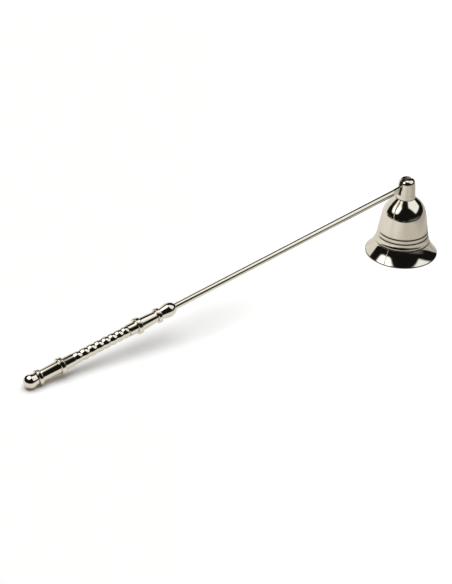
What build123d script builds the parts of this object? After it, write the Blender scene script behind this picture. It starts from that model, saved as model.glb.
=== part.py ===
from build123d import *
from math import asin, cos, radians, sin, sqrt, tan
import os

os.makedirs("parts", exist_ok=True)

# Candle snuffer: a small bell that swings on a long rod with a turned handle.
# Millimetres, +Z up. The bell stands on its mouth and the end knob touches the floor, both at z = 0.
# The rod runs along X, with the bell at +X, and the origin is on the floor under the middle of the length.

# Clearances and cuts
overrun = 1.0               # how far a cut runs past the metal that it removes
running_clearance = 0.05    # hinge pin in the eye of the rod, radial
seat_clearance = 0.03       # turned pieces on the tang and fasteners in their holes, radial
side_clearance = 0.55       # eye of the rod in the slot of the neck, on each side; it hangs loosely

# Bell
mouth_diameter = 47.4
bell_wall = 1.2
lip_height = 0.6            # upright edge of the lip
flare_height = 9.4          # top of the flare, under the rib
flare_radius = 19.0         # hollow curve of the flare
rib_height = 0.9
rib_projection = 0.8        # rib beyond the foot of the body
rib_ledge = 0.5             # rib beyond the top of the flare
cove_height = 1.4           # hollow between the rib and the body
body_diameter = 34.6        # foot of the body, above the cove
body_taper = 9.4            # degrees from upright
shoulder_radius = 16.0
shoulder_limit_share = 0.9  # most of the crown that the shoulder curve may take
crown_slope = 42.0          # degrees from level
groove_width = 0.6          # two scored rings, as deep as half their width
first_groove_rise = 2.2     # above the foot of the body
groove_spacing = 2.8

# Neck on the crown of the bell
neck_base_height = 40.5
neck_base_diameter = 12.7
neck_top_diameter = 10.6    # where the side and the dome would meet without the rounding
neck_chamfer = 0.3
spigot_diameter = 5.0
slot_floor = 3.1            # metal left under the slot
pivot_rise = 4.7            # hinge pin above the floor of the slot
ear_rise = 4.6              # top of the ears' side above the hinge pin
neck_dome = 1.5
ear_rounding = 3.4          # between the side and the dome

# Screw and washer that hold the neck from inside the bell
screw_diameter = 3.0
screw_head_diameter = 5.6
screw_head_height = 1.9
screw_head_chamfer = 0.6
screw_slot_width = 0.8
screw_slot_depth = 0.9
screw_grip = 3.0            # length of screw inside the neck
screw_tip_gap = 0.3
washer_diameter = 7.0
washer_thickness = 0.6

# Hinge pin
pin_diameter = 2.0
pin_recess = 0.1            # rivet ends lie this far under the skin of the neck

# Rod
rod_diameter = 4.0
eye_thickness = 1.7
eye_height = 4.5
flat_length = 11.4          # from the pivot to the end of the full flats
flat_runout = 1.4           # slope from the flats to the round rod
eye_waist = 4.0             # height of the flattened bar where it meets the round rod
tang_diameter = 3.0
socket_depth = 5.0          # full rod inside the bud
tang_tip_gap = 0.3

# Handle, from the bell towards the end knob
handle_start = 185.1        # pivot to the front of the bud
bud_nose_length = 5.2
bud_body_length = 6.2
bud_front_diameter = 4.6
bud_diameter = 9.2
bud_rear_diameter = 6.6
end_collar_diameter = 9.6
end_collar_width = 2.6
grip_collar_diameter = 10.5
grip_collar_width = 3.0
collar_chamfer = 0.35
front_ferrule_length = 11.8
front_ferrule_front_diameter = 7.0
front_ferrule_rear_diameter = 8.4
grip_diameter = 7.6         # plain ends of the grip
grip_front_length = 5.5
grip_rear_length = 7.4
bead_count = 8
bead_front_length = 4.5
bead_rear_length = 5.3
bead_diameter = 7.2
bead_groove_diameter = 6.1
rear_ferrule_length = 12.4
rear_ferrule_front_diameter = 7.9
rear_ferrule_rear_diameter = 7.4
knob_diameter = 9.0
knob_cone_length = 4.2
knob_neck_diameter = 7.0
knob_thread_depth = 6.0

# Places along the rod, measured from the pivot
front_collar_start = handle_start + bud_nose_length + bud_body_length
front_ferrule_start = front_collar_start + end_collar_width
grip_front_collar_start = front_ferrule_start + front_ferrule_length
grip_start = grip_front_collar_start + grip_collar_width
bead_start = grip_start + grip_front_length
bead_lengths = [
    bead_front_length + (bead_rear_length - bead_front_length) * i / (bead_count - 1) for i in range(bead_count)
]
bead_end = bead_start + sum(bead_lengths)
grip_rear_collar_start = bead_end + grip_rear_length
rear_ferrule_start = grip_rear_collar_start + grip_collar_width
rear_collar_start = rear_ferrule_start + rear_ferrule_length
knob_start = rear_collar_start + end_collar_width
knob_reach = knob_start + knob_cone_length

# Resting attitude: the round nose of the knob touches the floor that the bell stands on
pivot_height = neck_base_height + slot_floor + pivot_rise
mouth_radius = mouth_diameter / 2
knob_radius = knob_diameter / 2
rod_slope = asin((pivot_height - knob_radius) / knob_reach)
bell_x = (knob_reach * cos(rod_slope) + knob_radius - mouth_radius) / 2
pivot = Vector(bell_x, 0, pivot_height)
rod_direction = Vector(-cos(rod_slope), 0, -sin(rod_slope))

# Profile planes: radius and height on the bell, distance from the pivot and radius on the rod
bell_plane = Plane(origin=(bell_x, 0, 0), x_dir=(1, 0, 0), z_dir=(0, -1, 0))
bell_axis = Axis((bell_x, 0, 0), (0, 0, 1))
rod_plane = Plane(origin=pivot, x_dir=rod_direction, z_dir=(0, 1, 0))
rod_axis = Axis(pivot, rod_direction)

rod_radius = rod_diameter / 2
tang_radius = tang_diameter / 2
tang_bore_radius = tang_radius + seat_clearance
pin_radius = pin_diameter / 2
screw_radius = screw_diameter / 2
spigot_radius = spigot_diameter / 2
neck_base_radius = neck_base_diameter / 2
neck_top_radius = neck_top_diameter / 2
neck_top = pivot_height + ear_rise
slot_width = eye_thickness + 2 * side_clearance
slot_base = neck_base_height + slot_floor


def bell_shoulder(inset):
    """Points down the crown and body, moved inwards by the inset: seat, both ends of the shoulder curve, foot."""
    crown = radians(crown_slope)
    taper = radians(body_taper)
    foot_height = flare_height + rib_height + cove_height
    foot_radius = body_diameter / 2 - inset / cos(taper)
    crown_height = neck_base_height - inset / cos(crown)
    seat_radius = neck_base_radius - inset * tan(crown / 2)
    # The body line is r = foot_radius - tan(taper) (z - foot_height).
    # The crown line is z = crown_height - tan(crown) (r - neck_base_radius).
    rise = crown_height + tan(crown) * neck_base_radius - foot_height
    corner_radius = (foot_radius - tan(taper) * rise) / (1 - tan(taper) * tan(crown))
    corner_height = crown_height - tan(crown) * (corner_radius - neck_base_radius)
    # The shoulder curve touches both lines, at the same distance from the corner
    half_turn = (radians(90) - crown - taper) / 2
    crown_run = (corner_radius - seat_radius) / cos(crown)
    run = min((shoulder_radius - inset) * tan(half_turn), shoulder_limit_share * crown_run)
    return (
        (seat_radius, neck_base_height - inset),
        (corner_radius - run * cos(crown), corner_height + run * sin(crown)),
        (corner_radius + run * sin(taper), corner_height - run * cos(taper)),
        (foot_radius, foot_height),
    )


# Bell: a turned shell with a flared lip, a rib, a tapered body and a sloping crown
seat, shoulder_top, shoulder_base, foot = bell_shoulder(0)
inner_seat, inner_shoulder_top, inner_shoulder_base, inner_foot = bell_shoulder(bell_wall)
crown_line = (cos(radians(crown_slope)), -sin(radians(crown_slope)))
body_line = (sin(radians(body_taper)), -cos(radians(body_taper)))
rib_radius = foot[0] + rib_projection
rib_top = flare_height + rib_height
flare_top = Vector(rib_radius - rib_ledge, flare_height)
lip_top = Vector(mouth_radius, lip_height)
# Centre of the hollow curve of the flare, out beyond the bell; the inner curve keeps the wall
flare_chord = lip_top - flare_top
flare_offset = sqrt(flare_radius**2 - (flare_chord.length / 2) ** 2)
flare_centre = (flare_top + lip_top) / 2 + Vector(-flare_chord.Y, flare_chord.X).normalized() * flare_offset
inner_flare_radius = flare_radius + bell_wall


def inner_flare(height):
    """Point of the inner curve of the flare at a height."""
    return (flare_centre.X - sqrt(inner_flare_radius**2 - (height - flare_centre.Y) ** 2), height)


with BuildPart() as bell_cup:
    with BuildSketch(bell_plane):
        with BuildLine():
            Polyline((0, 0), (0, neck_base_height), seat, shoulder_top)
            TangentArc(shoulder_top, shoulder_base, tangent=crown_line)
            Line(shoulder_base, foot)
            TangentArc(foot, (rib_radius, rib_top), tangent=body_line)
            Polyline((rib_radius, rib_top), (rib_radius, flare_height), flare_top)
            RadiusArc(flare_top, lip_top, -flare_radius)
            Polyline(lip_top, (mouth_radius, 0), (0, 0))
        make_face()
    revolve(axis=bell_axis)
    # Hollow under the crown and inside the body
    with BuildSketch(bell_plane):
        with BuildLine():
            spread = (inner_foot[1] + overrun) * tan(radians(body_taper))
            Polyline((0, inner_seat[1]), inner_seat, inner_shoulder_top)
            TangentArc(inner_shoulder_top, inner_shoulder_base, tangent=crown_line)
            Polyline(
                inner_shoulder_base,
                (inner_foot[0] + spread, -overrun),
                (0, -overrun),
                (0, inner_seat[1]),
            )
        make_face()
    revolve(axis=bell_axis, mode=Mode.SUBTRACT)
    # Hollow of the flare
    with BuildSketch(bell_plane):
        with BuildLine():
            RadiusArc(inner_flare(rib_top), inner_flare(-overrun), -inner_flare_radius)
            Polyline(inner_flare(-overrun), (0, -overrun), (0, rib_top), inner_flare(rib_top))
        make_face()
    revolve(axis=bell_axis, mode=Mode.SUBTRACT)
    # Hole in the crown for the spigot of the neck
    with BuildSketch(Plane.XY.offset(inner_seat[1] - overrun)):
        with Locations((bell_x, 0)):
            Circle(spigot_radius + seat_clearance)
    extrude(amount=bell_wall + 2 * overrun, mode=Mode.SUBTRACT)
    # Two scored rings round the body
    with BuildSketch(bell_plane):
        for rise in (first_groove_rise, first_groove_rise + groove_spacing):
            with Locations((foot[0] - rise * tan(radians(body_taper)), foot[1] + rise)):
                RegularPolygon(groove_width / 2, side_count=4, rotation=body_taper)
    revolve(axis=bell_axis, mode=Mode.SUBTRACT)
bell_cup.part.label = "bell_cup"
export_step(bell_cup.part, "parts/bell_cup.step")

# Neck: a slightly tapered post with a rounded, gently domed top, slotted for the eye of the rod
spigot_end = inner_seat[1] + seat_clearance
screw_hole_top = spigot_end + screw_grip + screw_tip_gap
with BuildPart() as bell_neck:
    with BuildSketch(bell_plane) as neck_profile:
        with BuildLine():
            Polyline(
                (0, neck_top + neck_dome),
                (0, spigot_end),
                (spigot_radius, spigot_end),
                (spigot_radius, neck_base_height),
                (neck_base_radius - neck_chamfer, neck_base_height),
                (neck_base_radius, neck_base_height + neck_chamfer),
                (neck_top_radius, neck_top),
            )
            dome_radius = (neck_top_radius**2 + neck_dome**2) / (2 * neck_dome)
            RadiusArc((neck_top_radius, neck_top), (0, neck_top + neck_dome), -dome_radius)
        make_face()
        fillet(neck_profile.vertices().group_by(Axis.Y)[-2], ear_rounding)
    revolve(axis=bell_axis)
    # Slot for the eye of the rod, open at both sides and at the top
    with BuildSketch(Plane.XY.offset(slot_base)):
        with Locations((bell_x, 0)):
            Rectangle(2 * neck_base_radius + overrun, slot_width)
    extrude(amount=neck_top + neck_dome + overrun - slot_base, mode=Mode.SUBTRACT)
    # Cross hole for the hinge pin
    with BuildSketch(rod_plane):
        Circle(pin_radius + seat_clearance)
    extrude(amount=neck_base_radius + overrun, both=True, mode=Mode.SUBTRACT)
    # Blind hole for the screw
    with BuildSketch(Plane.XY.offset(spigot_end)):
        with Locations((bell_x, 0)):
            Circle(screw_radius + seat_clearance)
    extrude(amount=screw_hole_top - spigot_end, mode=Mode.SUBTRACT)
bell_neck.part.label = "bell_neck"
export_step(bell_neck.part, "parts/bell_neck.step")

# Washer against the underside of the crown
washer_base = inner_seat[1] - washer_thickness
with BuildPart() as neck_washer:
    with BuildSketch(Plane.XY.offset(washer_base)):
        with Locations((bell_x, 0)):
            Circle(washer_diameter / 2)
            Circle(screw_radius + seat_clearance, mode=Mode.SUBTRACT)
    extrude(amount=washer_thickness)
neck_washer.part.label = "neck_washer"
export_step(neck_washer.part, "parts/neck_washer.step")

# Slotted screw, head down inside the bell
screw_head_radius = screw_head_diameter / 2
screw_head_base = washer_base - screw_head_height
with BuildPart() as neck_screw:
    with BuildSketch(Plane.XY.offset(screw_head_base)):
        with Locations((bell_x, 0)):
            Circle(screw_head_radius)
    extrude(amount=screw_head_height)
    chamfer(neck_screw.edges().filter_by(GeomType.CIRCLE).sort_by(Axis.Z)[0], screw_head_chamfer)
    with BuildSketch(Plane.XY.offset(washer_base)):
        with Locations((bell_x, 0)):
            Circle(screw_radius)
    extrude(amount=screw_hole_top - screw_tip_gap - washer_base)
    with BuildSketch(Plane.XY.offset(screw_head_base)):
        with Locations((bell_x, 0)):
            Rectangle(screw_head_diameter + overrun, screw_slot_width)
    extrude(amount=screw_slot_depth, mode=Mode.SUBTRACT)
neck_screw.part.label = "neck_screw"
export_step(neck_screw.part, "parts/neck_screw.step")

# Hinge pin, riveted flush in the two ears of the neck
neck_side_base = neck_base_height + neck_chamfer
neck_taper_share = (pivot_height - neck_side_base) / (neck_top - neck_side_base)
neck_pivot_radius = neck_base_radius + (neck_top_radius - neck_base_radius) * neck_taper_share
with BuildPart() as hinge_pin:
    with BuildSketch(rod_plane):
        Circle(pin_radius)
    extrude(amount=neck_pivot_radius - pin_recess, both=True)
hinge_pin.part.label = "hinge_pin"
export_step(hinge_pin.part, "parts/hinge_pin.step")

# Rod: round bar with a flattened eye at the bell and a thin tang inside the handle
shoulder_place = handle_start + socket_depth
tang_end = knob_start + knob_thread_depth - tang_tip_gap
with BuildPart() as snuffer_rod:
    with BuildSketch(rod_plane):
        with BuildLine():
            Polyline(
                (flat_length, 0),
                (flat_length, rod_radius),
                (shoulder_place, rod_radius),
                (shoulder_place, tang_radius),
                (tang_end, tang_radius),
                (tang_end, 0),
                close=True,
            )
        make_face()
    revolve(axis=rod_axis)
    # Slopes that run out from the flats to the full round
    with BuildSketch(Plane(origin=pivot, x_dir=rod_direction, z_dir=rod_direction.cross(Vector(0, 1, 0)))):
        with BuildLine():
            Polyline(
                (flat_length - overrun, eye_thickness / 2),
                (flat_length, eye_thickness / 2),
                (flat_length + flat_runout, rod_radius),
                (flat_length + flat_runout, rod_radius + overrun),
                (flat_length - overrun, rod_radius + overrun),
                close=True,
            )
        make_face()
        mirror(about=Plane.XZ)
    extrude(amount=rod_radius + overrun, both=True, mode=Mode.SUBTRACT)
    # Flat eye, round at the pivot and narrowing towards the round bar
    eye_radius = eye_height / 2
    lean = asin((eye_radius - eye_waist / 2) / flat_length)
    with BuildSketch(rod_plane):
        with BuildLine():
            top = Line((eye_radius * sin(lean), eye_radius * cos(lean)), (flat_length, eye_waist / 2))
            bottom = Line((flat_length, -eye_waist / 2), (eye_radius * sin(lean), -eye_radius * cos(lean)))
            Line(top @ 1, bottom @ 0)
            ThreePointArc(bottom @ 1, (-eye_radius, 0), top @ 0)
        make_face()
        Circle(pin_radius + running_clearance, mode=Mode.SUBTRACT)
    extrude(amount=eye_thickness / 2, both=True)
snuffer_rod.part.label = "snuffer_rod"
export_step(snuffer_rod.part, "parts/snuffer_rod.step")

# Bud: swells from the collar, then rounds in to the rod, which shoulders inside it
rod_bore_radius = rod_radius + seat_clearance
bud_widest = handle_start + bud_nose_length
with BuildPart() as nose_bud:
    with BuildSketch(rod_plane):
        with BuildLine():
            Polyline(
                (bud_widest, bud_diameter / 2),
                (front_collar_start, bud_rear_diameter / 2),
                (front_collar_start, tang_bore_radius),
                (shoulder_place, tang_bore_radius),
                (shoulder_place, rod_bore_radius),
                (handle_start, rod_bore_radius),
                (handle_start, bud_front_diameter / 2),
            )
            TangentArc((bud_widest, bud_diameter / 2), (handle_start, bud_front_diameter / 2), tangent=(-1, 0))
        make_face()
    revolve(axis=rod_axis)
nose_bud.part.label = "nose_bud"
export_step(nose_bud.part, "parts/nose_bud.step")

# Four collars with broken edges
collars = {
    "front_collar": (front_collar_start, end_collar_width, end_collar_diameter),
    "grip_front_collar": (grip_front_collar_start, grip_collar_width, grip_collar_diameter),
    "grip_rear_collar": (grip_rear_collar_start, grip_collar_width, grip_collar_diameter),
    "rear_collar": (rear_collar_start, end_collar_width, end_collar_diameter),
}
for name, (start, width, diameter) in collars.items():
    with BuildPart() as collar:
        with BuildSketch(rod_plane):
            with BuildLine():
                Polyline(
                    (start, tang_bore_radius),
                    (start, diameter / 2 - collar_chamfer),
                    (start + collar_chamfer, diameter / 2),
                    (start + width - collar_chamfer, diameter / 2),
                    (start + width, diameter / 2 - collar_chamfer),
                    (start + width, tang_bore_radius),
                    close=True,
                )
            make_face()
        revolve(axis=rod_axis)
    collar.part.label = name
    export_step(collar.part, f"parts/{name}.step")

# Two tapered ferrules
ferrules = {
    "front_ferrule": (
        front_ferrule_start,
        front_ferrule_length,
        front_ferrule_front_diameter,
        front_ferrule_rear_diameter,
    ),
    "rear_ferrule": (
        rear_ferrule_start,
        rear_ferrule_length,
        rear_ferrule_front_diameter,
        rear_ferrule_rear_diameter,
    ),
}
for name, (start, length, front_diameter, rear_diameter) in ferrules.items():
    with BuildPart() as ferrule:
        with BuildSketch(rod_plane):
            with BuildLine():
                Polyline(
                    (start, tang_bore_radius),
                    (start, front_diameter / 2),
                    (start + length, rear_diameter / 2),
                    (start + length, tang_bore_radius),
                    close=True,
                )
            make_face()
        revolve(axis=rod_axis)
    ferrule.part.label = name
    export_step(ferrule.part, f"parts/{name}.step")

# Grip: eight turned beads between two plain ends
grip_radius = grip_diameter / 2
bead_groove_radius = bead_groove_diameter / 2
with BuildPart() as grip_barrel:
    with BuildSketch(rod_plane):
        with BuildLine():
            Polyline(
                (bead_start, bead_groove_radius),
                (bead_start, grip_radius),
                (grip_start, grip_radius),
                (grip_start, tang_bore_radius),
                (grip_rear_collar_start, tang_bore_radius),
                (grip_rear_collar_start, grip_radius),
                (bead_end, grip_radius),
                (bead_end, bead_groove_radius),
            )
            place = bead_start
            for length in bead_lengths:
                ThreePointArc(
                    (place, bead_groove_radius),
                    (place + length / 2, bead_diameter / 2),
                    (place + length, bead_groove_radius),
                )
                place += length
        make_face()
    revolve(axis=rod_axis)
grip_barrel.part.label = "grip_barrel"
export_step(grip_barrel.part, "parts/grip_barrel.step")

# End knob: a cone that grows into a round nose, with a blind hole for the tang
with BuildPart() as end_knob:
    with BuildSketch(rod_plane):
        with BuildLine():
            Polyline(
                (knob_reach, knob_radius),
                (knob_start, knob_neck_diameter / 2),
                (knob_start, tang_bore_radius),
                (knob_start + knob_thread_depth, tang_bore_radius),
                (knob_start + knob_thread_depth, 0),
                (knob_reach + knob_radius, 0),
            )
            TangentArc((knob_reach, knob_radius), (knob_reach + knob_radius, 0), tangent=(1, 0))
        make_face()
    revolve(axis=rod_axis)
end_knob.part.label = "end_knob"
export_step(end_knob.part, "parts/end_knob.step")
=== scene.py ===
import bpy
import numpy as np
from mathutils import Matrix


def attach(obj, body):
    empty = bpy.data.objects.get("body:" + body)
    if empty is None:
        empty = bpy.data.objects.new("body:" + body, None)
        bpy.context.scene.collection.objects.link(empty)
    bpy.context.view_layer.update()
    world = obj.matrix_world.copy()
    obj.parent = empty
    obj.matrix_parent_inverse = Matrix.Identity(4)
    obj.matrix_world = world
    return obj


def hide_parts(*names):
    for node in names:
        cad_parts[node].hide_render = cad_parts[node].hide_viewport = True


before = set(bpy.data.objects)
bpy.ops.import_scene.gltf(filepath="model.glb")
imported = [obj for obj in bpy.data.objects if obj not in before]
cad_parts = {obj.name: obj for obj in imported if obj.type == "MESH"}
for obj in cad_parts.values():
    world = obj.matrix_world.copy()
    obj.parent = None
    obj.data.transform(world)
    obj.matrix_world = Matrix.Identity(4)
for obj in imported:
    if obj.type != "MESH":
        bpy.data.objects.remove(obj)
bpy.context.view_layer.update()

# Candle snuffer: a swinging bell on a long rod with a bead-turned handle, all in polished nickel plate.
# Sizes are in millimetres, as in the solids, and become metres when a mesh is made.
millimetre = 0.001

# Bell
mouth_radius, lip_height, lip_lean, lip_edge, bell_wall = 23.7, 0.75, 0.2, 0.4, 1.2
flare_height, flare_radius = 9.4, 22.6
rib_height, cove_height = 0.9, 1.4
rib_edge, cove_reach, cove_radius, flare_top_radius = 0.45, 2.8, 17.83, 17.85
body_radius, body_taper = 17.3, np.radians(9.4)
shoulder_radius, crown_slope = 16.0, np.radians(42.0)
groove_width, first_groove_rise, groove_spacing = 0.7, 2.2, 2.8

# Neck, its fasteners and the hinge
neck_base, neck_base_radius, neck_top_radius = 40.5, 6.35, 5.3
neck_chamfer, neck_dome, ear_rounding, ear_edge = 0.3, 1.5, 3.4, 0.12
spigot_radius, seat_gap = 2.5, 0.03
post_core_radius, post_core_drop = 0.3, 1.0
slot_base, slot_half_width = 43.6, 1.4
pivot_height, neck_top = 48.3, 52.9
pin_radius, pin_bar_half, rivet_dome, rivet_sink = 1.0, 2.0, 0.075, 0.02
screw_radius, screw_head_radius, screw_head_height, screw_reach = 1.5, 2.8, 1.9, 3.0
screw_slot_half_width, screw_slot_depth, screw_edge = 0.4, 0.9, 0.06
head_rounding, head_straight, head_bend = 0.6, 0.35, 0.98
washer_radius, washer_thickness = 3.5, 0.6

# Rod
rod_radius, tang_radius = 2.0, 1.5
eye_radius, eye_half_thickness, eye_margin = 2.25, 0.85, 0.1
flat_length, flat_runout = 11.4, 1.4
crown_radius, crown_runout = 6.0, 0.9

# Handle: places along the rod, from the pivot, and radii
handle_start, socket_depth, tang_inset = 185.1, 5.0, 4.0
bud_widest, bud_end = 190.3, 196.5
bud_front_radius, bud_radius, bud_rear_radius = 2.3, 4.6, 3.3
end_collar_width, end_collar_radius = 2.6, 4.8
grip_collar_width, grip_collar_radius, collar_chamfer = 3.0, 5.25, 0.35
front_ferrule_length, front_ferrule_radii = 11.8, (3.5, 4.2)
grip_radius, grip_front_length, grip_rear_length = 3.8, 5.5, 7.4
bead_lengths = np.linspace(4.5, 5.3, 8)
bead_radius, bead_groove_radius = 3.6, 3.05
rear_ferrule_length, rear_ferrule_radii = 12.4, (3.95, 3.7)
knob_radius, knob_cone_length, knob_neck_radius = 4.5, 4.2, 3.5
bore_radius, knob_bore_depth, tang_end_gap = 1.53, 6.0, 0.3

front_ferrule_start = bud_end + end_collar_width
grip_front_collar_start = front_ferrule_start + front_ferrule_length
grip_start = grip_front_collar_start + grip_collar_width
bead_start = grip_start + grip_front_length
bead_end = bead_start + bead_lengths.sum()
grip_end = bead_end + grip_rear_length
rear_ferrule_start = grip_end + grip_collar_width
rear_collar_start = rear_ferrule_start + rear_ferrule_length
knob_start = rear_collar_start + end_collar_width
knob_reach = knob_start + knob_cone_length

# Painted shade on the walls of a slot: full up to one share of their height, thin from another
full_shade_rise, thin_shade_rise, thin_shade = 0.35, 0.75, 0.3

# The two turning axes: the bell's is upright, the rod's slopes down to the knob
rod_slope = np.arcsin((pivot_height - knob_radius) / knob_reach)
bell_x = (knob_reach * np.cos(rod_slope) + knob_radius - mouth_radius) / 2
rod_way = np.array([-np.cos(rod_slope), 0, -np.sin(rod_slope)])
bell_turning = (np.array([bell_x, 0, 0]), np.array([0, 0, 1.0]), np.array([1.0, 0, 0]), np.array([0, 1.0, 0]))
rod_turning = (
    np.array([bell_x, 0, pivot_height]),
    rod_way,
    np.array([0, 1.0, 0]),
    np.cross(rod_way, [0, 1.0, 0]),
)


# Profiles: lists of (radius, distance along the axis)


def unit(v):
    """A vector divided by its length."""
    v = np.asarray(v, float)
    return v / np.linalg.norm(v)


def arc_spokes(start, centre, turn, steps):
    """Points got by turning the spoke from centre to start through equal parts of an angle."""
    spoke, angle = start - centre, np.linspace(0, turn, steps)
    across = np.array([-spoke[1], spoke[0]])
    return centre + np.cos(angle)[:, None] * spoke + np.sin(angle)[:, None] * across


def arc_along(start, way, end, steps=32):
    """Arc that leaves start along a direction and ends at end: radius = chord squared over twice its part across."""
    start, end, way = np.array(start, float), np.array(end, float), unit(way)
    across, chord = np.array([-way[1], way[0]]), end - start
    radius = chord @ chord / (2 * chord @ across)
    return arc_spokes(start, start + radius * across, 2 * np.arctan2(chord @ across, chord @ way), steps)


def arc_centre(start, end, radius):
    """Centre of the arc of a radius from start to end, on the left of the chord."""
    chord = end - start
    return (start + end) / 2 + unit([-chord[1], chord[0]]) * np.sqrt(radius**2 - chord @ chord / 4)


def arc_of(start, end, radius, steps=48):
    """Arc of a radius from start to end, with its centre on the left of the chord."""
    half = np.linalg.norm(end - start) / 2
    return arc_spokes(start, arc_centre(start, end, radius), 2 * np.arcsin(half / radius), steps)


def evenly(loop, count):
    """Count points at equal distances round a closed loop, and the distance between two of them."""
    ring = np.vstack([loop, loop[:1]])
    step = np.linalg.norm(np.diff(ring, axis=0), axis=1)
    place = np.concatenate([[0], np.cumsum(step)])
    at = np.arange(count) * place[-1] / count
    return np.stack([np.interp(at, place, ring[:, k]) for k in (0, 1)], 1), place[-1] / count


def soften(loop, edge, fineness=6000):
    """Closed loop with its corners rounded: its two coordinates, as waves round the loop, lose all waves
    shorter than the edge, by a Gaussian of that width, so straight runs and wide curves stay as they are."""
    points, step = evenly(loop, fineness)
    keep = np.exp(-2 * (np.pi * np.fft.rfftfreq(fineness, step) * edge) ** 2)
    return np.fft.irfft(np.fft.rfft(points, axis=0) * keep[:, None], fineness, axis=0)


def gather(points, rows, closed, length_weight=0.35):
    """Rows of a fine profile, close together where it turns: equal shares of length and turning, weighed together.
    Returns the points, their distance along the profile, and how convex the profile is there."""
    ring = np.vstack([points, points[:1]]) if closed else points
    way = np.diff(ring, axis=0)
    step = np.linalg.norm(way, axis=1)
    heading = np.unwrap(np.arctan2(way[:, 1], way[:, 0]))
    bend = np.gradient(heading) / step
    turning = np.abs(bend) * step
    share = length_weight * step / step.sum() + (1 - length_weight) * turning / turning.sum()
    place = np.concatenate([[0], np.cumsum(share)])
    length = np.concatenate([[0], np.cumsum(step)])
    at = np.linspace(0, 1, rows, endpoint=not closed) * place[-1]
    area = np.sum(ring[:-1, 0] * ring[1:, 1] - ring[1:, 0] * ring[:-1, 1])
    convex = np.interp(at, place, np.append(bend, bend[-1])) * np.sign(area)
    chosen = np.stack([np.interp(at, place, ring[:, k]) for k in (0, 1)], 1)
    return chosen, np.interp(at, place, length), convex


# Meshes


def sheet_faces(rows, columns, closed_rows):
    """Quads of a grid whose columns close on themselves, and whose rows do where asked."""
    i, j = np.meshgrid(np.arange(rows if closed_rows else rows - 1), np.arange(columns), indexing="ij")
    near, far = i * columns, (i + 1) % rows * columns
    right = (j + 1) % columns
    return np.stack([near + j, near + right, far + right, far + j], -1).reshape(-1, 4)


def fan_faces(hub, ring):
    """Triangles from one vertex to a ring of vertices."""
    return np.stack([np.full(ring.size, hub), ring, np.roll(ring, -1)], 1)


def outward(points, faces):
    """The faces turned the other way round if the volume that they enclose comes out negative."""
    a, b, c = (points[np.concatenate([f[:, k] for f in faces])] for k in (0, 1, 2))
    d = points[np.concatenate([f[:, -1] for f in faces])]
    volume = np.sum(a * np.cross(b, c)) + np.sum(a * np.cross(c, d))
    return faces if volume > 0 else [f[:, ::-1] for f in faces]


def piece(name, node, body, finish, parts, sharp=38):
    """One object from several closed skins. Each part is (points in mm, faces, lathe coordinates, rub, soil and
    painted shade).
    """
    points = np.vstack([p[0] for p in parts])
    start = np.cumsum([0] + [len(p[0]) for p in parts])
    faces = [f + s for p, s in zip(parts, start) for f in outward(p[0] - p[0].mean(0), p[1])]
    mesh = bpy.data.meshes.new(name)
    mesh.from_pydata((points * millimetre).tolist(), [], [q for f in faces for q in f.tolist()])
    lathe = mesh.attributes.new("lathe", "FLOAT_VECTOR", "POINT")
    lathe.data.foreach_set("vector", np.vstack([p[2] for p in parts]).astype(np.float32).ravel())
    for column, label in ((3, "rub"), (4, "soil_and_shade")):
        share = mesh.attributes.new(label, "FLOAT", "POINT")
        share.data.foreach_set("value", np.concatenate([p[column] for p in parts]).astype(np.float32))
    mesh.shade_smooth()
    mesh.set_sharp_from_angle(angle=np.radians(sharp))
    mesh.materials.append(finish)
    made = bpy.data.objects.new(name, mesh)
    bpy.context.scene.collection.objects.link(made)
    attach(made, body)
    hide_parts(node)
    return made


def face_vectors(made, kind):
    """Centres or normals of a piece's faces, one row each."""
    values = np.zeros(len(made.data.polygons) * 3, np.float32)
    made.data.polygons.foreach_get(kind, values)
    return values.reshape(-1, 3)


def add_finish(made, finish, chosen):
    """Second finish on the chosen faces of a piece."""
    made.data.materials.append(finish)
    made.data.polygons.foreach_set("material_index", chosen.astype(np.int32))


def turned(loop, turning, rows, turns, edge=0.12, poles=False, soil_and_shade_map=None):
    """Surface of revolution: origin + axis * distance + radius * (cos angle * side + sin angle * other side).
    A loop that ends on the axis at both ends is mirrored across it while its corners are rounded.
    The soil-and-shade function gives how far soil and painted shade darken the surface, from 0 to 1, for a profile
    and angles round the axis."""
    origin, axis, side, other = turning
    if poles:
        whole = soften(np.vstack([loop, loop[-2:0:-1] * [-1, 1]]), edge)
        profile, along, convex = gather(whole[: len(whole) // 2 + 1], rows, False)
        profile[[0, -1], 0] = 0
    else:
        profile, along, convex = gather(soften(loop, edge), rows, True)
    angle = np.arange(turns) * 2 * np.pi / turns
    ring = np.cos(angle)[:, None] * side + np.sin(angle)[:, None] * other
    grid = origin + profile[:, None, 1:] * axis + profile[:, None, :1] * ring
    lathe = np.stack(np.broadcast_arrays(np.cos(angle), np.sin(angle), along[:, None]), -1)
    rub = np.repeat(np.clip(convex * edge, 0, 1), turns).reshape(rows, turns)
    soil_and_shade = soil_and_shade_map(profile, angle) if soil_and_shade_map else np.zeros((rows, turns))
    if not poles:
        faces = [sheet_faces(rows, turns, True)]
        return grid.reshape(-1, 3), faces, lathe.reshape(-1, 3), rub.ravel(), soil_and_shade.ravel()
    middle = (rows - 2) * turns
    points = np.vstack([grid[1:-1].reshape(-1, 3), grid[0, :1], grid[-1, :1]])
    faces = [
        sheet_faces(rows - 2, turns, False),
        fan_faces(middle, np.arange(turns))[:, ::-1],
        fan_faces(middle + 1, middle - turns + np.arange(turns)),
    ]
    lathe = np.vstack([lathe[1:-1].reshape(-1, 3), lathe[0, :1], lathe[-1, :1]])
    return points, faces, lathe, np.append(rub[1:-1].ravel(), [0, 0]), np.append(soil_and_shade[1:-1].ravel(), [0, 0])


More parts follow.
